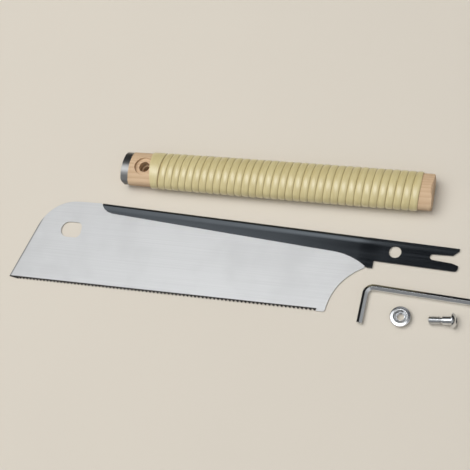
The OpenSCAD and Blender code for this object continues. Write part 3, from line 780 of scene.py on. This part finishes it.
class SAW_OT_key(bpy.types.Operator):
    """Bend the hex key from a drawn bar"""

    bl_idname = "pull_saw.key"
    bl_label = "Hex key"

    def push(self, bm, face, by, scale=1.0):
        """Extrudes a face, scales the new one about its middle and returns it."""
        made = bmesh.ops.extrude_face_region(bm, geom=[face, *face.edges, *face.verts])["geom"]
        verts = made_of(bmesh.types.BMVert, made)
        end = made_of(bmesh.types.BMFace, made)[0]
        bmesh.ops.translate(bm, verts=verts, vec=by)
        bmesh.ops.scale(bm, verts=verts, vec=(scale, scale, scale),
                        space=Matrix.Translation(-end.calc_center_median()))
        return end

    def execute(self, context):
        s = context.scene.saw_clamp
        half, bend = s.bar / 2, s.key_bend
        shrink = 1 - s.bar_end / half
        bm = bmesh.new()
        # Hexagon that stands on a corner, across the long arm
        bmesh.ops.create_circle(bm, cap_ends=True, segments=6, radius=s.bar / sqrt(3))
        upright = Matrix.Rotation(pi / 2, 3, "Y") @ Matrix.Rotation(pi / 6, 3, "Z")
        bmesh.ops.rotate(bm, verts=bm.verts, cent=(0, 0, 0), matrix=upright)
        bmesh.ops.bevel(bm, geom=bm.verts[:], offset=s.bar_soft, offset_type="OFFSET", segments=2,
                        profile=0.5, affect="VERTICES", material=-1)
        bmesh.ops.scale(bm, verts=bm.verts, vec=(shrink, shrink, shrink))
        bmesh.ops.translate(bm, verts=bm.verts, vec=(s.key_long - half, 0, 0))
        # Chamfer, long arm, bend, short arm and the other chamfer
        end = self.push(bm, bm.faces[:][0], (-s.bar_end, 0, 0), 1 / shrink)
        end = self.push(bm, end, (half + bend + s.bar_end - s.key_long, 0, 0))
        made = bmesh.ops.spin(bm, geom=[end, *end.edges, *end.verts], cent=(bend, -bend, 0), axis=(0, 0, 1),
                              angle=pi / 2, steps=BEND_STEPS, use_merge=False)["geom_last"]
        end = made_of(bmesh.types.BMFace, made)[0]
        end = self.push(bm, end, (0, half + bend + s.bar_end - s.key_short, 0))
        self.push(bm, end, (0, -s.bar_end, 0), shrink)
        bmesh.ops.remove_doubles(bm, verts=bm.verts, dist=WELD)
        bmesh.ops.recalc_face_normals(bm, faces=bm.faces)
        joint = JOINTS["key_swing"]
        turn = atan2(joint["axis"][0], -joint["axis"][1])
        bm.transform(Matrix.Translation(joint["pos_m"]) @ Matrix.Rotation(turn, 4, "Z"))
        bright = plated(s, "BrightPlating", (0.10, 0.19))
        finish_piece(bm, "bent_hex_key", "key", "hex_key", bright, 24)
        return {"FINISHED"}


class SAW_OT_stage(bpy.types.Operator):
    """Lay the pale floor, hang the soft lights and set the camera"""

    bl_idname = "pull_saw.stage"
    bl_label = "Bench, light and camera"

    def lay_floor(self, scene, s):
        """Plain pale floor with a faint drift of tone."""
        bm = bmesh.new()
        bmesh.ops.create_grid(bm, x_segments=1, y_segments=1, size=FLOOR_HALF)
        mesh = bpy.data.meshes.new("bench_floor")
        bm.to_mesh(mesh)
        bm.free()
        floor = bpy.data.objects.new("bench_floor", mesh)
        scene.collection.objects.link(floor)
        f = Finish("PaleFloor")
        grain = f.noise(f.place(scale=(6, 6, 6)), 2.0, 0.55)
        tone = f.blend(f.span(grain, (0.3, 0.7), (0.0, 0.2)), s.floor, [FLOOR_SHADE * c for c in s.floor])
        f.feed(f.shader, {"Base Color": tone, "Roughness": 0.7, "Specular IOR Level": 0.2})
        mesh.materials.append(f.material)

    def hang_sky(self, scene, s):
        """Dim sky with soft bright panels overhead and around."""
        world = bpy.data.worlds.new("StudioSky")
        world.use_nodes = True
        scene.world = world
        sky = Nodes(world.node_tree)
        way = sky.add("ShaderNodeTexCoord", {})["Generated"]
        level = SKY_BASE * s.sky
        for aim, edge, middle, strength in PANELS:
            inputs = {0: way, 1: Vector(aim).normalized()}
            near = sky.add("ShaderNodeVectorMath", inputs, operation="DOT_PRODUCT")["Value"]
            glow = sky.span(near, (edge, middle), (0.0, strength * s.sky))
            level = sky.add("ShaderNodeMath", {0: glow, 1: level}, operation="ADD")["Value"]
        sky.feed(world.node_tree.nodes["Background"], {"Color": SKY_TINT, "Strength": level})

    def hang_lamp(self, scene, s):
        """Large soft lamp that lights the bench but isn't mirrored in the metal."""
        lamp = bpy.data.lights.new("overhead_panel", "AREA")
        lamp.shape = "SQUARE"
        lamp.size = LAMP_SIZE
        lamp.energy = s.lamp
        lamp.color = LAMP_TINT
        panel = bpy.data.objects.new("overhead_panel", lamp)
        panel.location = LAMP_AT
        panel.rotation_euler = (-LAMP_AT).to_track_quat("-Z", "Y").to_euler()
        panel.visible_glossy = False
        scene.collection.objects.link(panel)

    def set_camera(self, scene, s):
        """Camera that looks down on the bench from the front right."""
        lens = bpy.data.cameras.new("bench_camera")
        lens.sensor_width = 36
        lens.lens = s.lens
        camera = bpy.data.objects.new("bench_camera", lens)
        axes = Matrix((CAMERA_RIGHT, CAMERA_UP, CAMERA_RIGHT.cross(CAMERA_UP))).transposed()
        camera.matrix_world = Matrix.Translation(CAMERA_AT) @ axes.to_4x4()
        scene.collection.objects.link(camera)
        scene.camera = camera

    def execute(self, context):
        scene = context.scene
        s = scene.saw_stage
        self.lay_floor(scene, s)
        self.hang_sky(scene, s)
        self.hang_lamp(scene, s)
        self.set_camera(scene, s)
        scene.view_settings.view_transform = "Standard"
        return {"FINISHED"}


class SAW_PT_panel(bpy.types.Panel):
    """Sidebar panel with every piece and its settings"""

    bl_label = "Pull Saw"
    bl_idname = "SAW_PT_panel"
    bl_space_type = "VIEW_3D"
    bl_region_type = "UI"
    bl_category = "Pull Saw"

    def draw(self, context):
        for operator in OPERATORS:
            self.layout.operator(operator.bl_idname)
        for name, group in GROUPS.items():
            box = self.layout.box()
            box.label(text=group.__doc__)
            for key in group.__annotations__:
                box.prop(getattr(context.scene, name), key)


OPERATORS = (SAW_OT_stick, SAW_OT_grip, SAW_OT_blade, SAW_OT_bolt, SAW_OT_nut, SAW_OT_key, SAW_OT_stage)


def register():
    for group in GROUPS.values():
        bpy.utils.register_class(group)
    for name, group in GROUPS.items():
        setattr(bpy.types.Scene, name, bpy.props.PointerProperty(type=group))
    for cls in (*OPERATORS, SAW_PT_panel):
        bpy.utils.register_class(cls)


def unregister():
    for cls in (SAW_PT_panel, *reversed(OPERATORS)):
        bpy.utils.unregister_class(cls)
    for name, group in reversed(GROUPS.items()):
        delattr(bpy.types.Scene, name)
        bpy.utils.unregister_class(group)


def main():
    register()
    bpy.ops.pull_saw.stick()
    bpy.ops.pull_saw.grip()
    bpy.ops.pull_saw.blade()
    bpy.ops.pull_saw.bolt()
    bpy.ops.pull_saw.nut()
    bpy.ops.pull_saw.key()
    bpy.ops.pull_saw.stage()


if __name__ == "__main__":
    main()
